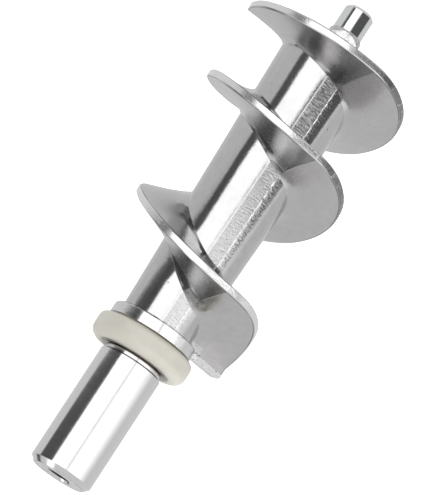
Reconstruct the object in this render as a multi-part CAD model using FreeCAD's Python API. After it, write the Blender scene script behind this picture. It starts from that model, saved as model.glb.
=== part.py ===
"""Feed screw of a size 5 hand crank meat grinder, with its knife stud and thrust washer.

Row frame, in millimetres: +X runs along the screw's axis towards the knife, +Z is up, and the
origin lies on the axis at the middle of the rear journal. The dimensions below place things
along X from the collar's rear face, where the thrust washer seats, and the finished pieces are
moved to the row's origin together. Angles round the axis are in degrees from +Z towards -Y, so
the left-hand flight climbs towards +X while its angle falls.
"""
import FreeCAD, Part
import math
import os

from FreeCAD import Vector

# ---- Driving dimensions ---------------------------------------------------------------------

# Rear journal, which turns in the grinder's rear bush and carries the crank
JOURNAL_RADIUS = 8.4
JOURNAL_REAR = -40.5
JOURNAL_FRONT = -8.0
JOURNAL_CHAMFER = 1.3
RELIEF_RADIUS = 7.75
LAND_REAR = -6.5

# Hole in the journal's end for the crank's wing screw, M8 at its thread's core
CRANK_HOLE_RADIUS = 3.4
CRANK_HOLE_DEPTH = 20.0
COUNTERSINK = 0.5
DRILL_POINT_ANGLE = 118.0

# Collar behind the flight
COLLAR_RADIUS = 11.45
COLLAR_WIDTH = 3.5
COLLAR_EDGE = 0.4

# Thrust washer, free to turn on the land in front of the relief groove
WASHER_OUTER_RADIUS = 13.15
WASHER_BORE_RADIUS = 8.47
WASHER_THICKNESS = 6.2
WASHER_REAR_ROUND = 2.4
WASHER_FRONT_ROUND = 1.4
WASHER_MOUTH = 1.3
WASHER_END_PLAY = 0.1

# Conical hub
HUB_REAR_RADIUS = 9.45
HUB_FRONT_RADIUS = 12.1
NOSE_PLANE = 84.6

# Flight
PARTING_ANGLE = 27.0
FLIGHT_REAR_PLANE = 1.9
FLIGHT_REAR_RADIUS = 21.4
FLIGHT_FRONT_RADIUS = 24.0
RIM_THICKNESS = 2.0
RIM_BEVEL = 0.35
ROOT_DEPTH = 0.5
ROOT_FILLET = 1.8
FLIGHT_START_ANGLE = 117.0
FLIGHT_END_ANGLE = -92.0
FLIGHT_TURNS = 2

# The casting leaves its mould in two halves, so each half turn of the flight runs square to the
# axis near the parting plane and climbs fast between. One station per quarter turn, the first
# a quarter turn behind the near parting plane, gives where the section stands along X.
STATIONS = [
    # rim's rear edge | rear root                | front root
    # place, slope    | place, slope in and out  | place, slope        (mm, mm per quarter turn)
    ((2.0, 44.0),      (-2.5, 35.0, 35.0),         (9.5, 18.0)),
    ((16.4, 0.8),      (10.1, 6.0, 6.5),           (22.8, 1.5)),
    ((25.1, 14.0),     (21.5, 12.0, 12.0),         (32.4, 12.0)),
    ((35.6, 6.0),      (32.5, 10.0, 10.0),         (43.0, 9.0)),
    ((44.6, 16.0),     (42.0, 7.0, 7.0),           (51.0, 8.0)),
    ((55.3, 1.0),      (48.9, 4.0, 6.5),           (59.0, 6.0)),
    ((61.2, 7.0),      (57.6, 6.0, 6.0),           (65.8, 5.5)),
    ((65.0, 4.0),      (62.5, 5.0, 5.0),           (70.6, 5.5)),
    ((71.8, 14.0),     (66.5, 6.0, 6.0),           (77.0, 8.0)),
    ((81.4, 0.8),      (74.9, 7.5, 6.0),           (87.0, 6.0)),
    ((82.3, 1.2),      (79.5, 1.2, 1.2),           (90.0, 0.0)),
    ((83.5, 1.2),      (80.5, 1.0, 1.0),           (90.0, 0.0)),
]

# Straight tail blade between the flight's start and the collar
TAIL_TILT = 34.5
TAIL_TOP = 5.3
TAIL_REACH = 20.8
TAIL_INNER = 5.0
TAIL_LENGTH = 7.0
TAIL_STRAIGHT = 3.4
TAIL_THICKNESS = 2.6
TAIL_CORNER = 1.2

# Knife stud: round pilot for the hole plate, square that drives the knife, root in the hub
PILOT_RADIUS = 4.0
PILOT_FRONT = 98.0
PILOT_REAR = 91.1
PILOT_CHAMFER = 0.9
SQUARE_ACROSS_FLATS = 8.8
SQUARE_CORNER_RADIUS = 5.7
SQUARE_CONE_LENGTH = 2.4
STUD_ROOT_RADIUS = 4.5
STUD_ROOT_DEPTH = 24.0
STUD_GROOVE_RADIUS = 3.7
STUD_GROOVE_WIDTH = 2.5
STUD_GROOVES = 3

AXIS = Vector(1, 0, 0)
CENTRE = Vector(0, 0, 0)


# ---- Shared shapes --------------------------------------------------------------------------

def revolve(profile):
    """Solid of revolution about X from a closed list of (x, radius) corners."""
    corners = [Vector(x, 0, radius) for x, radius in profile]
    outline = Part.makePolygon(corners + [corners[0]])
    return Part.Face(outline).revolve(CENTRE, AXIS, 360)


def along(start, end, share):
    return start + (end - start) * share


def hub_radius(x):
    return along(HUB_REAR_RADIUS, HUB_FRONT_RADIUS, x / NOSE_PLANE)


def flight_radius(x):
    share = min(max(x / NOSE_PLANE, 0.0), 1.0)
    return along(FLIGHT_REAR_RADIUS, FLIGHT_FRONT_RADIUS, share)


# ---- Flight ---------------------------------------------------------------------------------

def climb(start, slope_out, end, slope_in, share):
    """Cubic between two stations a quarter turn apart, and its slope."""
    square, cube = share ** 2, share ** 3
    place = (start * (2 * cube - 3 * square + 1) + slope_out * (cube - 2 * square + share)
             + end * (3 * square - 2 * cube) + slope_in * (cube - square))
    slope = (6 * (end - start) * (share - square) + slope_out * (3 * square - 4 * share + 1)
             + slope_in * (3 * square - 2 * share))
    return place, slope


def flight_places(turned):
    """Rim, rear root and front root at an angle in quarter turns past the near parting plane."""
    index = min(max(int(math.floor(turned + 1)), 0), len(STATIONS) - 2)
    share = turned + 1 - index
    (rim, rear, front), (next_rim, next_rear, next_front) = STATIONS[index], STATIONS[index + 1]
    rim_place, rim_slope = climb(*rim, *next_rim, share)
    rear_place, _ = climb(rear[0], rear[2], next_rear[0], next_rear[1], share)
    front_place, _ = climb(*front, *next_front, share)
    return rim_place, rim_slope, rear_place, front_place


def side_points(root, rim, outer):
    """Control points of one side of the flight: a fillet at the hub, then straight to the rim."""
    inner = hub_radius(root)
    lean = 1 if rim > root else -1
    reach = abs(rim - root)
    fillet = min(ROOT_FILLET, 0.8 * reach)
    return [(root - lean * ROOT_DEPTH, inner - ROOT_DEPTH),
            (root + lean * fillet, inner + 0.1),
            (root + lean * (fillet + 0.35 * (reach - fillet)), along(inner, outer, 0.35)),
            (rim, outer - RIM_BEVEL)]


def section(turned):
    """Strips of control points round the flight's section, in the half plane at this angle."""
    rim_rear, rim_slope, rear, front = flight_places(turned)
    outer = flight_radius(rim_rear)
    steepness = rim_slope / (outer * math.pi / 2)
    rim_front = rim_rear + RIM_THICKNESS * math.sqrt(1 + steepness ** 2)
    rear_side = side_points(rear, rim_rear, outer)
    front_side = side_points(front, rim_front, outer)[::-1]
    rear_bevel = (rim_rear + RIM_BEVEL, outer)
    front_bevel = (rim_front - RIM_BEVEL, outer)
    strips = [rear_side, [rear_side[-1], rear_bevel], [rear_bevel, front_bevel],
              [front_bevel, front_side[0]], front_side, [front_side[-1], rear_side[0]]]
    angle = math.radians(PARTING_ANGLE - 90.0 * turned)
    return [[Vector(x, -radius * math.sin(angle), radius * math.cos(angle))
             for x, radius in strip] for strip in strips]


def stretch(start, end):
    """Faces of the flight between two angles, given in quarter turns."""
    steps = max(4, round((end - start) * 8))
    sections = [section(along(start, end, step / steps)) for step in range(steps + 1)]
    parameters = [float(step) for step in range(steps + 1)]
    faces = []
    for strip in zip(*sections):
        rails = []
        for points in zip(*strip):
            rail = Part.BSplineCurve()
            rail.interpolate(Points=list(points), Parameters=parameters)
            rails.append(rail)
        across = len(rails) - 1
        poles = [list(row) for row in zip(*[rail.getPoles() for rail in rails])]
        surface = Part.BSplineSurface()
        surface.buildFromPolesMultsKnots(poles, rails[0].getMultiplicities(), [across + 1] * 2,
                                         rails[0].getKnots(), [0.0, 1.0], False, False,
                                         rails[0].Degree, across)
        faces.append(surface.toShape())
    return faces


def end_cap(turned):
    """Flat face that closes the flight at one end."""
    edges = []
    for strip in section(turned):
        curve = Part.BezierCurve()
        curve.setPoles(strip)
        edges.append(curve.toShape())
    return Part.Face(Part.Wire(edges))


def make_flight():
    """Left-hand flight, cut square at both ends, with a seam at each crossing of the parting."""
    start = (PARTING_ANGLE - FLIGHT_START_ANGLE) / 90.0
    end = (PARTING_ANGLE - FLIGHT_END_ANGLE) / 90.0 + 4.0 * FLIGHT_TURNS
    seams = [start] + [float(seam) for seam in range(0, int(end) + 1, 2)] + [end]
    faces = [end_cap(start), end_cap(end)]
    for low, high in zip(seams, seams[1:]):
        faces += stretch(low, high)
    shell = Part.makeShell(faces)
    shell.sewShape()
    flight = Part.makeSolid(shell)
    if flight.Volume < 0:
        flight.reverse()
    rear = FLIGHT_REAR_PLANE + TAIL_STRAIGHT
    room = Part.makeCylinder(2 * FLIGHT_FRONT_RADIUS, NOSE_PLANE - rear, Vector(rear, 0, 0), AXIS)
    return flight.common(room)


def make_tail():
    """Straight blade, parallel to the axis, that carries the flight back to the collar."""
    blade = Part.makeBox(TAIL_LENGTH, TAIL_REACH - TAIL_INNER, TAIL_THICKNESS,
                         Vector(FLIGHT_REAR_PLANE, -TAIL_REACH, TAIL_TOP - TAIL_THICKNESS))
    corner = [edge for edge in blade.Edges
              if abs(edge.CenterOfMass.y + TAIL_REACH) < 0.01
              and abs(edge.CenterOfMass.x - FLIGHT_REAR_PLANE) < 0.01]
    blade = blade.makeFillet(TAIL_CORNER, corner)
    return blade.rotate(CENTRE, AXIS, TAIL_TILT)


# ---- Pieces ---------------------------------------------------------------------------------

def make_knife_stud():
    """Steel stud: pilot pin, cone, square with turned corners, and a grooved root."""
    cone_front = PILOT_REAR
    cone_rear = PILOT_REAR - SQUARE_CONE_LENGTH
    seat = revolve([(NOSE_PLANE, 0), (NOSE_PLANE, SQUARE_CORNER_RADIUS),
                    (cone_rear, SQUARE_CORNER_RADIUS), (cone_front, PILOT_RADIUS),
                    (cone_front, 0)])
    width = SQUARE_ACROSS_FLATS
    square = Part.makeBox(cone_front - NOSE_PLANE, width, width,
                          Vector(NOSE_PLANE, -width / 2, -width / 2))
    pilot = revolve([(cone_front, 0), (cone_front, PILOT_RADIUS),
                     (PILOT_FRONT - PILOT_CHAMFER, PILOT_RADIUS),
                     (PILOT_FRONT, PILOT_RADIUS - PILOT_CHAMFER), (PILOT_FRONT, 0)])
    end = NOSE_PLANE - STUD_ROOT_DEPTH
    pitch = STUD_ROOT_DEPTH / (STUD_GROOVES + 1)
    root = [(NOSE_PLANE, 0), (end, 0), (end, STUD_ROOT_RADIUS)]
    for groove in range(1, STUD_GROOVES + 1):
        low = end + groove * pitch - STUD_GROOVE_WIDTH / 2
        high = low + STUD_GROOVE_WIDTH
        root += [(low, STUD_ROOT_RADIUS), (low, STUD_GROOVE_RADIUS),
                 (high, STUD_GROOVE_RADIUS), (high, STUD_ROOT_RADIUS)]
    root.append((NOSE_PLANE, STUD_ROOT_RADIUS))
    return seat.common(square).fuse([pilot, revolve(root)]).removeSplitter()


def make_crank_hole():
    """Drilled hole with its countersink and drill point, to be cut from the journal's end."""
    mouth = CRANK_HOLE_RADIUS + COUNTERSINK
    bottom = JOURNAL_REAR + CRANK_HOLE_DEPTH
    point = CRANK_HOLE_RADIUS / math.tan(math.radians(DRILL_POINT_ANGLE / 2))
    return revolve([(JOURNAL_REAR, 0), (JOURNAL_REAR, mouth),
                    (JOURNAL_REAR + COUNTERSINK, CRANK_HOLE_RADIUS),
                    (bottom, CRANK_HOLE_RADIUS), (bottom + point, 0)])


def make_feed_screw(stud):
    """The casting: journal, relief groove, washer land, collar, hub, flight and tail."""
    core = revolve([
        (JOURNAL_REAR, 0), (JOURNAL_REAR, JOURNAL_RADIUS - JOURNAL_CHAMFER),
        (JOURNAL_REAR + JOURNAL_CHAMFER, JOURNAL_RADIUS), (JOURNAL_FRONT, JOURNAL_RADIUS),
        (JOURNAL_FRONT, RELIEF_RADIUS), (LAND_REAR, RELIEF_RADIUS),
        (LAND_REAR, JOURNAL_RADIUS), (0, JOURNAL_RADIUS), (0, COLLAR_RADIUS - COLLAR_EDGE),
        (COLLAR_EDGE, COLLAR_RADIUS), (COLLAR_WIDTH - COLLAR_EDGE, COLLAR_RADIUS),
        (COLLAR_WIDTH, COLLAR_RADIUS - COLLAR_EDGE), (COLLAR_WIDTH, hub_radius(COLLAR_WIDTH)),
        (NOSE_PLANE, hub_radius(NOSE_PLANE)), (NOSE_PLANE, 0)])
    return core.fuse([make_flight(), make_tail()]).cut([make_crank_hole(), stud])


def make_thrust_washer():
    """Nylon ring with rounded rims and a bevelled mouth at its rear."""
    front = -WASHER_END_PLAY
    rear = front - WASHER_THICKNESS
    ring = revolve([(rear, WASHER_BORE_RADIUS + WASHER_MOUTH),
                    (rear + WASHER_MOUTH, WASHER_BORE_RADIUS), (front, WASHER_BORE_RADIUS),
                    (front, WASHER_OUTER_RADIUS), (rear, WASHER_OUTER_RADIUS)])
    for x, radius in ((rear, WASHER_REAR_ROUND), (front, WASHER_FRONT_ROUND)):
        rim = [edge for edge in ring.Edges if isinstance(edge.Curve, Part.Circle)
               and abs(edge.Curve.Center.x - x) < 0.01
               and abs(edge.Curve.Radius - WASHER_OUTER_RADIUS) < 0.01]
        ring = ring.makeFillet(radius, rim)
    return ring


def main():
    os.makedirs("parts", exist_ok=True)
    stud = make_knife_stud()
    pieces = {"knife_stud": stud, "feed_screw": make_feed_screw(stud),
              "thrust_washer": make_thrust_washer()}
    journal_middle = (JOURNAL_REAR + JOURNAL_CHAMFER + JOURNAL_FRONT) / 2
    for name, shape in pieces.items():
        shape.translate(Vector(-journal_middle, 0, 0))
        print(name, "valid" if shape.isValid() else "NOT VALID", len(shape.Solids), "solid",
              round(shape.Volume), "mm3")
        shape.exportStep("parts/" + name + ".step")


main()
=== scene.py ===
"""Feed screw of a hand crank meat grinder: its finishes, and the studio and camera round it.

Everything is in metres, in the frame's own axes: +X runs along the screw towards the knife and
+Z is up. Angles round the screw are in degrees from +Z towards -Y.
"""
import math
import random

import bmesh
import bpy
from mathutils import Matrix, Vector


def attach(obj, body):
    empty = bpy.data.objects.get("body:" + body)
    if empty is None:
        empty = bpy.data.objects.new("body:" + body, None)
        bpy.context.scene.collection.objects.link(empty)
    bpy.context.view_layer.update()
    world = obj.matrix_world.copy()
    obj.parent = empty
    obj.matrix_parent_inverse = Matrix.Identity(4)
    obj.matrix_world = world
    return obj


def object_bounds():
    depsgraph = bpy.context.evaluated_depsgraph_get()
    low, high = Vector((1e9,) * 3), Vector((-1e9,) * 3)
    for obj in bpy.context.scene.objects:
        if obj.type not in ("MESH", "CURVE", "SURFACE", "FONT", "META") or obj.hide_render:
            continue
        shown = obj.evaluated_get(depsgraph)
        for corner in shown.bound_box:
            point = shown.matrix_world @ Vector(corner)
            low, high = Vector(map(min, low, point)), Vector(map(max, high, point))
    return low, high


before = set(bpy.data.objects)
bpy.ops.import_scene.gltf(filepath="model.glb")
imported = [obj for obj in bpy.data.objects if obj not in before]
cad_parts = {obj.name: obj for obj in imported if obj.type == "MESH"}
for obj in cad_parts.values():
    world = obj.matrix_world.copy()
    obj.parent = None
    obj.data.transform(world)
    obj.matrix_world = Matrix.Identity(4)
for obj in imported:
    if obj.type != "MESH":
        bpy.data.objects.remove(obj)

MM = 0.001
CAD_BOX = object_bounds()

# ---- Places on the screw, in millimetres from the frame's origin ----------------------------

JOURNAL_REAR = -16.9
WASHER_FRONT = 23.5
GROOVE_REAR = 15.6
GROOVE_FRONT = 17.3
COLLAR_REAR = 23.6
COLLAR_FRONT = 27.1
HUB_REAR_RADIUS = 9.45
HUB_FRONT_RADIUS = 12.1
FLIGHT_REAR_RADIUS = 21.4
FLIGHT_FRONT_RADIUS = 24.0
NOSE_PLANE = 108.2
PILOT_REAR = 114.7
PARTING_ANGLE = 27.0

# Flash left along the mould's parting line, in millimetres
FLASH_MARGIN = 0.3
FLASH_WIDTH = 0.40
FLASH_HEIGHT = 0.12
FLASH_HEIGHTS = (0.5, 0.8, 1.0, 1.0, 1.2)
FLASH_SINK = 0.25
FLASH_TAPER = 0.6
FLASH_CUTS = 90
FLASH_JITTER = (0.7, 1.3)
FLASH_SWAY = 0.12
FLASH_BEVEL = 0.03
FLASH_BEVELLED = 0.4
SAME_STATION = 1e-6

# ---- Camera ---------------------------------------------------------------------------------

CAMERA_PLACE = Vector((-0.1639, 0.0, 1.075))
CAMERA_TARGET = Vector((0.05185, -0.0021, 0.0))
CAMERA_LENS = 325.8
SCREW_SLOPE = 56.87

# ---- Studio ---------------------------------------------------------------------------------

STUDIO_RADIUS = 0.5
STUDIO_REAR = -0.9
STUDIO_FRONT = 1.1
FLOOR_SIZE = 8.0
FLOOR_GAP = 0.0002
PANEL_STEPS = 16
FADE_STEPS = 6
FADE_ARC = 6.0
CARD_DISTANCE = 1.0
FLAG_RADIUS = STUDIO_RADIUS * 0.95
WORLD_STRENGTH = 0.75
FLOOR_STRENGTH = 0.75
SOFTBOX_STRENGTH = 1.85
SOFTBOX_END = 58
FADE_STRENGTHS = (1.6, 0.8)

# Where each dark flag starts, along the screw
FLAG_MIDDLE_REAR = 0.095
WEDGE_REAR = 0.120
FLAG_FRONT_REAR = 0.135
NOSE_FLAG_REAR = 0.145
PIN_FLAG_REAR = 0.215


class Value:
    """A node socket whose arithmetic adds Math nodes to its finish."""

    def __init__(self, finish, socket):
        self.finish = finish
        self.socket = socket

    def __add__(self, other):
        return self.finish.math("ADD", self, other)

    def __sub__(self, other):
        return self.finish.math("SUBTRACT", self, other)

    def __mul__(self, other):
        return self.finish.math("MULTIPLY", self, other)

    def __truediv__(self, other):
        return self.finish.math("DIVIDE", self, other)

    def __rsub__(self, other):
        return self.finish.math("SUBTRACT", other, self)

    def __neg__(self):
        return self.finish.math("MULTIPLY", self, -1.0)

    __radd__ = __add__
    __rmul__ = __mul__


class Finish:
    """A material under construction, with one method that adds any node."""

    def __init__(self, name):
        self.material = bpy.data.materials.new(name)
        self.material.use_nodes = True
        self.tree = self.material.node_tree
        self.shader = self.tree.nodes["Principled BSDF"]

    def node(self, kind, settings=None, inputs=None, output=0):
        made = self.tree.nodes.new(kind)
        for name, value in (settings or {}).items():
            setattr(made, name, value)
        for name, value in (inputs or {}).items():
            self.feed(made.inputs[name], value)
        return Value(self, made.outputs[output])

    def feed(self, socket, value):
        if isinstance(value, Value):
            self.tree.links.new(value.socket, socket)
        else:
            socket.default_value = value

    def math(self, operation, *values):
        return self.node("ShaderNodeMath", {"operation": operation}, dict(enumerate(values)))

    def set(self, **sockets):
        for name, value in sockets.items():
            self.feed(self.shader.inputs[name.replace("_", " ")], value)

    def place(self):
        """The object's own coordinates, in metres."""
        return self.node("ShaderNodeTexCoord", output="Object")

    def axes(self, place):
        """X, angle from +Z towards -Y in radians, and distance from the screw's axis."""
        x, y, z = (self.node("ShaderNodeSeparateXYZ", inputs={0: place}, output=axis)
                   for axis in range(3))
        angle = self.math("ARCTAN2", -y, z)
        radius = self.math("SQRT", y * y + z * z)
        return x, angle, radius

    def rise(self, value, low, high):
        """0 below low, 1 above high, smooth between."""
        return self.node("ShaderNodeMapRange", {"interpolation_type": "SMOOTHSTEP"},
                         {0: value, 1: low, 2: high, 3: 0.0, 4: 1.0})

    def band(self, value, low, high, soft):
        """1 between low and high, 0 outside, with soft edges."""
        risen = self.rise(value, low - soft, low + soft)
        return risen * (1 - self.rise(value, high - soft, high + soft))

    def noise(self, place, scale, detail=2.0, roughness=0.5):
        return self.node("ShaderNodeTexNoise", inputs={
            "Vector": place, "Scale": scale, "Detail": detail, "Roughness": roughness})

    def stretch(self, place, scale):
        """The place with each axis scaled, for patterns that run one way."""
        return self.node("ShaderNodeMapping", inputs={"Vector": place, "Scale": scale})

    def draw_round(self, unrolled, share):
        """The unrolled place, for patterns drawn out round the axis."""
        return self.stretch(unrolled, (1.0, share, 1.0))

    def join(self, x, y, z):
        return self.node("ShaderNodeCombineXYZ", inputs={0: x, 1: y, 2: z})

    def blend(self, factor, low, high):
        """A colour between low and high."""
        return self.node("ShaderNodeMix", {"data_type": "RGBA"},
                         {0: factor, 6: low, 7: high}, output=2)

    def bump(self, height, depth=MM):
        """A normal from a height given in units of depth."""
        return self.node("ShaderNodeBump",
                         inputs={"Strength": 1.0, "Distance": depth, "Height": height})


def grey(level, red=1.0, blue=1.0):
    return (level * red, level, level * blue, 1.0)


def mm(*sizes):
    """Sizes in millimetres, as metres."""
    return [size * MM for size in sizes]


# ---- Finishes -------------------------------------------------------------------------------

# Noise: scale per metre, detail, and roughness where it isn't 0.5
CLOUDS = (90.0, 3.0)
WAVES = (260.0, 1.0)
MOTTLE = (480.0, 3.0, 0.55)
CHATTER = (900.0, 3.0, 0.65)
SKIN = (1500.0, 3.0, 0.6)
SCRATCHES = (1900.0, 1.0)
SEAM_MARKS = (2200.0, 1.0, 0.4)
RINGS = (2200.0, 2.0, 0.6)
GRAIN = (2600.0, 2.0)
TICKS = (2600.0, 2.0, 0.6)
RAGGED = (3000.0, 1.0)
FLASH_NICKS = (1500.0, 2.0, 0.6)
STEEL_RINGS = (2600.0, 2.0, 0.6)
STEEL_CLOUDS = (300.0, 2.0)
STEEL_SPECKS = (620.0, 2.0, 0.6)
NYLON_CLOUDS = (160.0, 3.0)
NYLON_GRAIN = (2400.0, 2.0)

# One radian round the axis as metres, and how far each pattern is drawn out round it
RADIAN_LENGTH = 0.01
RING_DRAW = 0.03
TICK_DRAW = 0.30
SEAM_DRAW = 0.12
STEEL_RING_DRAW = 0.02
SCRATCH_STRETCH = (0.2, 1.0, 1.0)

# Where a noise turns from off to on
SCRATCH_LINES = (0.495, 0.505, 0.006)
TICKS_WORN = (0.35, 0.65)
# Patches of painted shade on one side of the rim
RIM_SHADE_PATCHES = (0.25, 0.42)
# Patches of the painted dark reflection just inside the rim
RIM_EDGE_REFLECTION_PATCHES = (0.35, 0.55)
# Patches of the painted shade where the collar meets the hub
COLLAR_SEAM_SHADE_PATCHES = (0.40, 0.55)
COLLAR_NICKS = (0.64, 0.70)
END_PATCHES = (0.30, 0.60)
FLASH_NICKED = (0.58, 0.66)
STEEL_SPECKLED = (0.45, 0.65)

# Pits: cells per metre, how far noise moves their edges, their size and how rare they are
PIT_SCALE = 520.0
PIT_RAGGEDNESS = 0.0006
PIT_EDGE = (0.05, 0.11)
PIT_RARITY = (0.93, 0.95)
PIT_RARITY_LOSS_ON_RIM = (0.22, 0.20)

# Relief in millimetres
WAVE_RELIEF = 0.014
SKIN_RELIEF = 0.012
SKIN_RELIEF_LOSS_ON_FLIGHT = 0.007
GRAIN_RELIEF = 0.002
RING_RELIEF = 0.0030
TURNED_SKIN_RELIEF = 0.010
PIT_DEPTH = 0.12
TICK_RELIEF = 0.055
SCRATCH_DEPTH = 0.006
EDGE_GRAIN_RELIEF = 0.035
RIM_RELIEF = 0.045
SEAM_HEIGHT = 0.05
SEAM_MARK_RELIEF = 0.016
STEEL_RING_RELIEF = 0.003
NYLON_GRAIN_RELIEF = 0.006
NYLON_CLOUD_RELIEF = 0.03

# Roughness of the plain surface, and what each pattern or place adds to it
CASTING_ROUGHNESS = 0.08
CLOUD_ROUGHNESS = 0.04
SKIN_ROUGHNESS = 0.08
RING_ROUGHNESS = 0.10
LINISHED_ROUGHNESS = 0.14
FLIGHT_ROUGHNESS = 0.12
FLASH_ROUGHNESS = 0.34
STEEL_ROUGHNESS = 0.08
STEEL_RING_ROUGHNESS = 0.06
STEEL_CLOUD_ROUGHNESS = 0.03
SQUARE_ROUGHNESS = 0.12
NYLON_ROUGHNESS = 0.42
NYLON_GRAIN_ROUGHNESS = 0.12

# Places on the screw: start, end and, for a band, softness
LATHE_END = mm(COLLAR_FRONT - 0.3, COLLAR_FRONT + 0.1)
HUB_EDGE = mm(11.6, 12.4)
FLIGHT_ROOT = mm(12.6, 13.6)
LINISHED_BAND = mm(-3.9, 0.0, 0.25)
EDGE_BAND = mm(0.0, 1.9, 0.5)
RIM_START = mm(-0.30, -0.14)
# Just inside the rim's edge: a painted dark reflection of the bevel
RIM_EDGE_REFLECTION = mm(-0.50, -0.28, 0.07)
SEAM_LINE = mm(-0.10, 0.10, 0.09)
SEAM_END = mm(88.0, 95.0)
SEAM_SIDE = mm(0.1, 2.2, 0.3)
# Where the marks in the linished band turn darker towards the nose, a painted dark reflection
MARK_DARKENING_LENGTH = mm(50.0, 92.0)
# Flight face just before the parting crease, darkened in colour as a painted dark reflection
CREASE_SHADE_START = mm(-7.0, -2.5)
CREASE_SHADE_END = mm(-0.12, 0.0)
# Side of the rim round the axis, and where along the screw it starts, darkened as painted shade
RIM_SHADE_SIDE = [math.radians(turn) for turn in (36, 150, 7)]
RIM_SHADE_START = mm(45.0, 60.0)
GROOVE = mm(GROOVE_REAR, GROOVE_FRONT, 0.12)
GROOVE_FLOOR = mm(GROOVE_REAR + 0.45, GROOVE_FRONT - 0.45, 0.12)
COLLAR = mm(COLLAR_REAR, COLLAR_FRONT, 0.1)
COLLAR_CORNER = mm(COLLAR_FRONT - 0.2, COLLAR_FRONT + 0.35, 0.1)
END_FACE = mm(JOURNAL_REAR + 0.03, JOURNAL_REAR + 0.10)
SQUARE_END = mm(PILOT_REAR - 0.4, PILOT_REAR + 0.2)
STAIN_START = mm(WASHER_FRONT - 0.5, WASHER_FRONT)

# Colours, as a pair where a pattern runs from one to the other
HUB_GREYS = grey(0.46), grey(0.62)
FLIGHT_GREYS = grey(0.44, 1.02, 1.01), grey(0.61, 1.02, 1.0)
# Marks in the linished band, turning darker towards the nose as a painted dark reflection
MARK_AND_REFLECTION_GREYS = grey(0.58), grey(0.20)
# Plain rim, and the rim's side darkened as painted shade
RIM_AND_RIM_SHADE_GREYS = grey(0.80), grey(0.25)
# Painted dark reflection on the flight face beside the parting crease
CREASE_SHADE_GREY = grey(0.24)
# Painted dark reflection just inside the rim
RIM_EDGE_REFLECTION_GREY = grey(0.22)
TURNED_GREY = grey(0.70, 1.0, 1.01)
# Painted shadow at the groove's edges
GROOVE_SHADOW_GREY = grey(0.06, 1.3, 0.9)
END_GREY = grey(0.42)
# Painted shade where the collar meets the hub, and the collar's real nicks
SEAM_SHADE_AND_NICK_GREY = grey(0.10)
PIT_GREY = grey(0.12)
FLASH_GREYS = grey(0.86), grey(0.30)
STEEL_GREYS = grey(0.70, 0.99, 1.01), grey(0.78, 0.99, 1.01)
SQUARE_GREYS = grey(0.62), grey(0.40)
NYLON_COLOURS = (0.43, 0.418, 0.365, 1.0), (0.56, 0.548, 0.495, 1.0)
STAIN_COLOUR = (0.30, 0.25, 0.15, 1.0)

# How strongly a tint covers what is under it
CREASE_SHADE_COVER = 0.75
NICK_COVER = 0.7
STAIN_COVER = 0.6


def ragged_pits(finish, place, on_rim):
    """1 in scattered pits with ragged edges, which are commoner on the rim."""
    shift = finish.node("ShaderNodeVectorMath", {"operation": "SCALE"},
                        {0: finish.noise(place, *RAGGED), "Scale": PIT_RAGGEDNESS})
    ragged = finish.node("ShaderNodeVectorMath", {"operation": "ADD"}, {0: place, 1: shift})
    distance, chance = (
        finish.node("ShaderNodeTexVoronoi", {"feature": "F1"},
                    {"Vector": ragged, "Scale": PIT_SCALE}, output) for output in (0, 1))
    lot = finish.node("ShaderNodeSeparateColor", inputs={0: chance})
    low, high = (rarity - on_rim * loss
                 for rarity, loss in zip(PIT_RARITY, PIT_RARITY_LOSS_ON_RIM))
    return finish.rise(lot, low, high) * (1 - finish.rise(distance, *PIT_EDGE))


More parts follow.
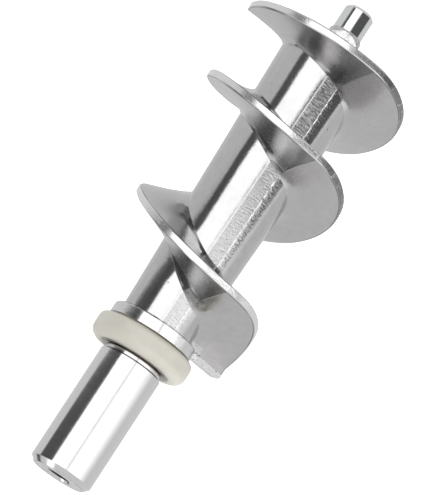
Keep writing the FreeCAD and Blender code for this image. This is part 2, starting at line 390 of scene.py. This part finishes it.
def polished_casting():
    """Bright cast metal: turned journal and collar, tumbled hub and flight, trimmed parting."""
    finish = Finish("polished_casting")
    place = finish.place()
    x, angle, radius = finish.axes(place)
    unrolled = finish.join(x, angle * RADIAN_LENGTH, radius)
    quarter = math.pi / 2
    past_parting = angle - math.radians(PARTING_ANGLE)
    off_parting = finish.math("WRAP", past_parting, quarter, -quarter) * radius
    share = (x - COLLAR_REAR * MM) / ((NOSE_PLANE - COLLAR_REAR) * MM)
    rim_radius = (FLIGHT_REAR_RADIUS + (FLIGHT_FRONT_RADIUS - FLIGHT_REAR_RADIUS) * share) * MM
    past_rim = radius - rim_radius

    clouds = finish.noise(place, *CLOUDS)
    waves = finish.noise(place, *WAVES)
    skin = finish.noise(place, *SKIN)
    grain = finish.noise(place, *GRAIN)
    chatter = finish.noise(place, *CHATTER)
    mottle = clouds * 0.5 + finish.noise(place, *MOTTLE) * 0.5
    rings = finish.noise(finish.draw_round(unrolled, RING_DRAW), *RINGS)
    ticks = finish.noise(finish.draw_round(unrolled, TICK_DRAW), *TICKS)
    seam_marks = finish.noise(finish.draw_round(unrolled, SEAM_DRAW), *SEAM_MARKS)
    scratches = finish.noise(finish.stretch(place, SCRATCH_STRETCH), *SCRATCHES)
    scratch_lines = finish.band(scratches, *SCRATCH_LINES)

    turned = 1 - finish.rise(x, *LATHE_END)
    cast = 1 - turned
    on_flight = finish.rise(radius, *FLIGHT_ROOT)
    on_hub = (1 - finish.rise(radius, *HUB_EDGE)) * cast
    # Known fault: these two and the corner (a painted dark reflection beside the parting crease)
    # also fall on the flat nose face, where they don't belong, and where the ticks can be taken for
    # characters
    linished = finish.band(off_parting, *LINISHED_BAND) * on_hub
    edge_grain = finish.band(off_parting, *EDGE_BAND) * on_hub
    corner = (finish.rise(off_parting, *CREASE_SHADE_START)
              * (1 - finish.rise(off_parting, *CREASE_SHADE_END)) * on_flight)
    on_rim = finish.rise(past_rim, *RIM_START) * cast
    rim_edge_painted_reflection = finish.band(past_rim, *RIM_EDGE_REFLECTION) * cast
    pits = ragged_pits(finish, place, on_rim) * cast
    seam = (finish.band(off_parting, *SEAM_LINE) * on_flight
            * (1 - finish.rise(x, *SEAM_END)))
    beside_seam = finish.band(off_parting, *SEAM_SIDE) * on_flight * cast

    roughness = (CASTING_ROUGHNESS + clouds * CLOUD_ROUGHNESS + skin * SKIN_ROUGHNESS * cast
                 + rings * RING_ROUGHNESS * turned + linished * LINISHED_ROUGHNESS
                 + on_flight * FLIGHT_ROUGHNESS)
    cast_relief = (waves * WAVE_RELIEF
                   + skin * (SKIN_RELIEF - on_flight * SKIN_RELIEF_LOSS_ON_FLIGHT)
                   + grain * GRAIN_RELIEF)
    turned_relief = rings * RING_RELIEF + skin * TURNED_SKIN_RELIEF
    height = (cast_relief * cast + turned_relief * turned
              - pits * PIT_DEPTH + ticks * linished * TICK_RELIEF
              - scratch_lines * linished * SCRATCH_DEPTH
              + skin * edge_grain * EDGE_GRAIN_RELIEF + chatter * on_rim * RIM_RELIEF
              + seam * SEAM_HEIGHT + seam_marks * beside_seam * SEAM_MARK_RELIEF)

    hub_tint = finish.blend(mottle, *HUB_GREYS)
    flight_tint = finish.blend(mottle, *FLIGHT_GREYS)
    tint = finish.blend(on_flight, hub_tint, flight_tint)
    # Real marks in the linished band, darker towards the nose as a painted dark reflection
    marks_and_painted_reflection = finish.blend(finish.rise(x, *MARK_DARKENING_LENGTH), *MARK_AND_REFLECTION_GREYS)
    tint = finish.blend(linished * finish.rise(ticks, *TICKS_WORN), tint, marks_and_painted_reflection)
    # Painted dark reflection: the flight face just before the parting crease is darkened
    tint = finish.blend(corner * CREASE_SHADE_COVER, tint, CREASE_SHADE_GREY)
    # Painted shade: one side of the rim darker, in patches, from the middle of the screw forwards
    rim_side_painted_shade = (finish.band(angle, *RIM_SHADE_SIDE) * finish.rise(x, *RIM_SHADE_START)
               * finish.rise(chatter, *RIM_SHADE_PATCHES))
    tint = finish.blend(on_rim, tint, finish.blend(rim_side_painted_shade, *RIM_AND_RIM_SHADE_GREYS))
    # Painted dark reflection of the bevel: a dark line in patches just inside the rim
    tint = finish.blend(rim_edge_painted_reflection * finish.rise(clouds, *RIM_EDGE_REFLECTION_PATCHES), tint, RIM_EDGE_REFLECTION_GREY)
    tint = finish.blend(turned, tint, TURNED_GREY)
    # Painted shadows: dark lines at the groove's two edges, either side of its floor
    groove_painted_shadows = finish.band(x, *GROOVE) - finish.band(x, *GROOVE_FLOOR)
    tint = finish.blend(groove_painted_shadows, tint, GROOVE_SHADOW_GREY)
    end_face = (1 - finish.rise(x, *END_FACE)) * finish.rise(skin, *END_PATCHES)
    tint = finish.blend(end_face, tint, END_GREY)
    # Painted shade: a dark line in patches where the collar's front meets the hub; the nicks below
    # are real marks
    collar_seam_shade = (finish.band(x, *COLLAR_CORNER) * (1 - on_flight)
            * finish.rise(skin, *COLLAR_SEAM_SHADE_PATCHES))
    nicked = finish.rise(skin, *COLLAR_NICKS) * finish.band(x, *COLLAR)
    tint = finish.blend(finish.math("MAXIMUM", collar_seam_shade, nicked * NICK_COVER), tint, SEAM_SHADE_AND_NICK_GREY)
    finish.set(
        Base_Color=finish.blend(pits, tint, PIT_GREY),
        Metallic=1.0,
        Roughness=roughness,
        Normal=finish.bump(height))
    return finish.material


def trimmed_flash():
    """The flash's sheared top: bright, dull and broken by dark nicks."""
    finish = Finish("trimmed_flash")
    nicks = finish.rise(finish.noise(finish.place(), *FLASH_NICKS), *FLASH_NICKED)
    finish.set(
        Base_Color=finish.blend(nicks, *FLASH_GREYS),
        Metallic=1.0,
        Roughness=FLASH_ROUGHNESS)
    return finish.material


def turned_steel():
    """Bright turned steel with fine rings round the axis, and a duller, speckled square."""
    finish = Finish("turned_steel")
    place = finish.place()
    x, angle, radius = finish.axes(place)
    unrolled = finish.join(x, angle * RADIAN_LENGTH, radius)
    rings = finish.noise(finish.draw_round(unrolled, STEEL_RING_DRAW), *STEEL_RINGS)
    clouds = finish.noise(place, *STEEL_CLOUDS)
    specks = finish.rise(finish.noise(place, *STEEL_SPECKS), *STEEL_SPECKLED)
    on_square = 1 - finish.rise(x, *SQUARE_END)
    bright = finish.blend(clouds, *STEEL_GREYS)
    finish.set(
        Base_Color=finish.blend(on_square, bright, finish.blend(specks, *SQUARE_GREYS)),
        Metallic=1.0,
        Roughness=(STEEL_ROUGHNESS + rings * STEEL_RING_ROUGHNESS
                   + clouds * STEEL_CLOUD_ROUGHNESS + on_square * SQUARE_ROUGHNESS),
        Normal=finish.bump(rings * STEEL_RING_RELIEF))
    return finish.material


def washer_nylon():
    """Natural nylon, satin and slightly translucent, a little stained where it meets the collar."""
    finish = Finish("washer_nylon")
    place = finish.place()
    x = finish.axes(place)[0]
    clouds = finish.noise(place, *NYLON_CLOUDS)
    grain = finish.noise(place, *NYLON_GRAIN)
    stain = finish.rise(x, *STAIN_START)
    colour = finish.blend(clouds, *NYLON_COLOURS)
    finish.set(
        Base_Color=finish.blend(stain * STAIN_COVER, colour, STAIN_COLOUR),
        Roughness=NYLON_ROUGHNESS + grain * NYLON_GRAIN_ROUGHNESS,
        Subsurface_Weight=0.3,
        Subsurface_Radius=(1.0, 0.9, 0.6),
        Subsurface_Scale=0.003,
        Normal=finish.bump(grain * NYLON_GRAIN_RELIEF + clouds * NYLON_CLOUD_RELIEF))
    return finish.material


def glow(name, strength):
    """A card of even brightness, with no shine of its own."""
    finish = Finish(name)
    finish.set(Base_Color=grey(0.0), Emission_Color=grey(1.0), Emission_Strength=strength)
    finish.set(Specular_IOR_Level=0.0)
    return finish.material


# ---- New pieces -----------------------------------------------------------------------------

def add_object(name, mesh, material):
    made = bpy.data.objects.new(name, mesh)
    made.data.materials.append(material)
    bpy.context.scene.collection.objects.link(made)
    return made


def make_flash(name, angle, finish, seed):
    """The trimmed flash of the mould's parting: a low broken ridge along the hub."""
    dice = random.Random(seed)
    shape = bmesh.new()
    bmesh.ops.create_cube(shape, size=1.0)
    length = (NOSE_PLANE - FLASH_MARGIN - COLLAR_FRONT - FLASH_MARGIN) * MM
    bmesh.ops.scale(shape, vec=(length, FLASH_WIDTH * MM, FLASH_SINK * MM), verts=shape.verts)
    lengthwise = [edge for edge in shape.edges
                  if abs(edge.verts[0].co.x - edge.verts[1].co.x) > length / 2]
    bmesh.ops.subdivide_edges(shape, edges=lengthwise, cuts=FLASH_CUTS, use_grid_fill=True)
    middle = (COLLAR_FRONT + NOSE_PLANE) / 2 * MM
    for station in sorted({round(point.co.x, 7) for point in shape.verts}):
        ring = [point for point in shape.verts if abs(point.co.x - station) < SAME_STATION]
        height = FLASH_HEIGHT * MM * dice.choice(FLASH_HEIGHTS) * dice.uniform(*FLASH_JITTER)
        sway = dice.uniform(-FLASH_SWAY, FLASH_SWAY) * FLASH_WIDTH * MM
        x = station + middle
        share = (x / MM - COLLAR_REAR) / (NOSE_PLANE - COLLAR_REAR)
        hub = (HUB_REAR_RADIUS + (HUB_FRONT_RADIUS - HUB_REAR_RADIUS) * share) * MM
        for point in ring:
            top = point.co.z > 0
            spread = FLASH_TAPER if top else 1.0
            out = hub + (height if top else -FLASH_SINK * MM)
            point.co = Vector((x, point.co.y * spread + sway, out))
    turn = Matrix.Rotation(math.radians(angle), 4, "X")
    bmesh.ops.transform(shape, matrix=turn, verts=shape.verts)
    long_edges = [edge for edge in shape.edges if edge.calc_length() > FLASH_BEVELLED * MM]
    bmesh.ops.bevel(shape, geom=long_edges, offset=FLASH_BEVEL * MM, segments=1,
                    profile=0.5, affect="EDGES", material=-1)
    mesh = bpy.data.meshes.new(name)
    shape.to_mesh(mesh)
    shape.free()
    flash = add_object(name, mesh, finish)
    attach(flash, "screw")
    return flash


# ---- Studio and camera ----------------------------------------------------------------------

def make_panel(name, strength, rear, front, rear_arc, front_arc=None, radius=STUDIO_RADIUS):
    """A curved card about the screw's axis that only reflections see; it may taper forwards."""
    shape = bmesh.new()
    bmesh.ops.create_grid(shape, x_segments=PANEL_STEPS, y_segments=PANEL_STEPS, size=0.5)
    front_arc = front_arc or rear_arc
    for point in shape.verts:
        forward, round_by = point.co.x + 0.5, point.co.y + 0.5
        start = rear_arc[0] + (front_arc[0] - rear_arc[0]) * forward
        end = rear_arc[1] + (front_arc[1] - rear_arc[1]) * forward
        turn = Matrix.Rotation(math.radians(start + (end - start) * round_by), 3, "X")
        point.co = turn @ Vector((rear + (front - rear) * forward, 0.0, radius))
    return add_card(name, shape, strength)


def make_card(name, strength, direction, width, height, distance=CARD_DISTANCE):
    """A flat card out in one direction, facing the screw, that only reflections see."""
    shape = bmesh.new()
    out = Vector(direction).normalized()
    turn = out.to_track_quat("Z", "Y").to_matrix().to_4x4()
    bmesh.ops.create_grid(shape, x_segments=1, y_segments=1, size=0.5,
                          matrix=Matrix.Diagonal((width, height, 1.0, 1.0)))
    bmesh.ops.transform(shape, matrix=Matrix.Translation(out * distance) @ turn, verts=shape.verts)
    return add_card(name, shape, strength)


def add_card(name, shape, strength):
    mesh = bpy.data.meshes.new(name)
    shape.to_mesh(mesh)
    shape.free()
    card = add_object(name, mesh, glow(name, strength))
    card.visible_camera = False
    return card


def make_floor():
    """A pale light table just under the flight."""
    lowest = CAD_BOX[0][2] - FLOOR_GAP
    shape = bmesh.new()
    bmesh.ops.create_grid(shape, x_segments=1, y_segments=1, size=FLOOR_SIZE / 2,
                          matrix=Matrix.Translation((0.0, 0.0, lowest)))
    mesh = bpy.data.meshes.new("floor")
    shape.to_mesh(mesh)
    shape.free()
    finish = Finish("pale_floor")
    finish.set(Base_Color=grey(0.8), Roughness=0.9, Specular_IOR_Level=0.1)
    finish.set(Emission_Color=grey(1.0), Emission_Strength=FLOOR_STRENGTH)
    floor = add_object("floor", mesh, finish.material)
    floor.visible_glossy = False


def make_world(strength):
    world = bpy.data.worlds.new("studio")
    world.use_nodes = True
    world.node_tree.nodes["Background"].inputs["Color"].default_value = grey(1.0)
    world.node_tree.nodes["Background"].inputs["Strength"].default_value = strength
    bpy.context.scene.world = world


def make_camera():
    """Looks down at the screw, turned so that the screw runs up to the right."""
    ahead = (CAMERA_TARGET - CAMERA_PLACE).normalized()
    along = Vector((1, 0, 0)) - ahead * ahead.x
    along.normalize()
    across = along.cross(ahead)
    slope = math.radians(SCREW_SLOPE)
    right = math.cos(slope) * along - math.sin(slope) * across
    up = math.sin(slope) * along + math.cos(slope) * across
    data = bpy.data.cameras.new("camera")
    data.lens = CAMERA_LENS
    camera = bpy.data.objects.new("camera", data)
    turn = Matrix((right, up, -ahead)).transposed().to_4x4()
    camera.matrix_world = Matrix.Translation(CAMERA_PLACE) @ turn
    bpy.context.scene.collection.objects.link(camera)
    bpy.context.scene.camera = camera


def make_studio():
    """Softboxes overhead, black flags on both sides, and cards behind for the flight's faces."""
    make_world(WORLD_STRENGTH)
    make_floor()
    make_panel("softbox_left", SOFTBOX_STRENGTH, STUDIO_REAR, STUDIO_FRONT, (-45, 10.5))
    make_panel("softbox_right", SOFTBOX_STRENGTH, STUDIO_REAR, STUDIO_FRONT, (15.5, SOFTBOX_END))
    first, last = FADE_STRENGTHS
    for step in range(FADE_STEPS):
        start = SOFTBOX_END + step * FADE_ARC
        strength = first + (last - first) * step / (FADE_STEPS - 1)
        make_panel(f"fade_{step}", strength, STUDIO_REAR, STUDIO_FRONT, (start, start + FADE_ARC))
    make_panel("flag_rear", 0.09, STUDIO_REAR, FLAG_MIDDLE_REAR, (-99, -45))
    make_panel("flag_middle", 0.09, FLAG_MIDDLE_REAR, FLAG_FRONT_REAR, (-97, -45), (-68, -45))
    make_panel("flag_front", 0.11, FLAG_FRONT_REAR, STUDIO_FRONT, (-67, -45), (-60, -45))
    make_panel("nose_flag_wedge", 0.12, WEDGE_REAR, NOSE_FLAG_REAR, (60, 76), (54, 79),
               radius=FLAG_RADIUS)
    make_panel("nose_flag", 0.10, NOSE_FLAG_REAR, PIN_FLAG_REAR, (11, 80), (11, 84),
               radius=FLAG_RADIUS)
    make_panel("pin_flag", 0.10, PIN_FLAG_REAR, STUDIO_FRONT, (10, 86), radius=FLAG_RADIUS)
    make_card("rear_softbox", 2.0, (-0.85, 0.45, 0.0), width=0.35, height=0.30)
    make_card("rear_flag", 0.1, (-0.45, 0.68, -0.45), width=0.45, height=0.5)


make_camera()
make_studio()

FINISHES = {
    "feed_screw": polished_casting(),
    "knife_stud": turned_steel(),
    "thrust_washer": washer_nylon(),
}
for name, finish in FINISHES.items():
    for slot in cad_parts[name].material_slots:
        slot.material = finish

# Positive turns about +X go from +Z towards -Y
FLASH_FINISH = trimmed_flash()
make_flash("parting_flash_near", PARTING_ANGLE, FLASH_FINISH, seed=3)
make_flash("parting_flash_far", PARTING_ANGLE + 180.0, FLASH_FINISH, seed=8)

bpy.context.scene.view_settings.view_transform = "Standard"
